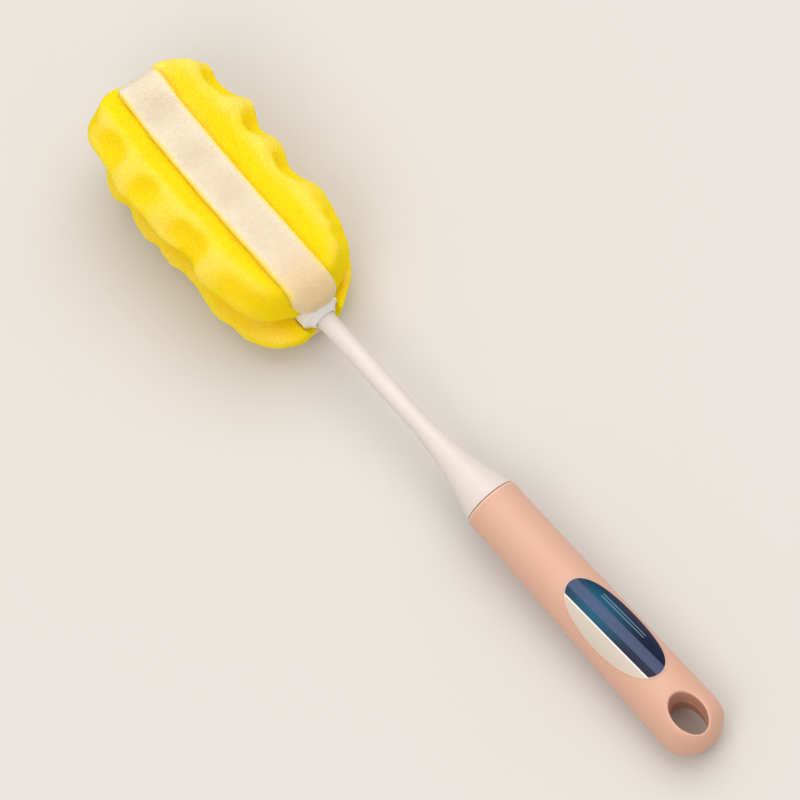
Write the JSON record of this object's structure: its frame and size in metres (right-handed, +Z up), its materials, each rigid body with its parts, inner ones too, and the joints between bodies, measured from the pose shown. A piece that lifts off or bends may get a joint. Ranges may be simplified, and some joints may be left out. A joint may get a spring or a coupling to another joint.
{
  "type": "sponge cup brush",
  "caption": "Long-handled sponge brush for cups and bottles: fanned foam head pinched on a wire loop, round collar, flared stem and tapered grip with an oval hanging hole.",
  "frame": {"origin": "middle of the bounding box's floor, where the brush lies on its foam and the tail of its grip", "axes": "+X from the foam's tip to the grip's end, +Y across the slabs, +Z up and nearly through the hanging hole"},
  "size_m": [0.3534, 0.0646, 0.0642],
  "materials": {
    "yellow_foam": "open-cell foam",
    "white_foam": "open-cell foam",
    "steel_wire": "drawn wire",
    "collar_plastic": "translucent moulding",
    "stem_plastic": "glossy moulding",
    "grip_plastic": "satin moulding",
    "label_film": "printed film"
  },
  "bodies": {
    "handle": {"stem": "stem_plastic", "grip": "grip_plastic", "label": "label_film"},
    "head": {"foam_left": "yellow_foam", "foam_centre": "white_foam", "foam_right": "yellow_foam", "clamp_loop": "steel_wire", "collar": "collar_plastic"}
  },
  "joints": [
    {"name": "head_pull_off", "type": "slide", "parent": "handle", "child": "head", "axis": [-0.9979, 0, 0.0649], "range_m": [0, 0.014]}
  ]
}
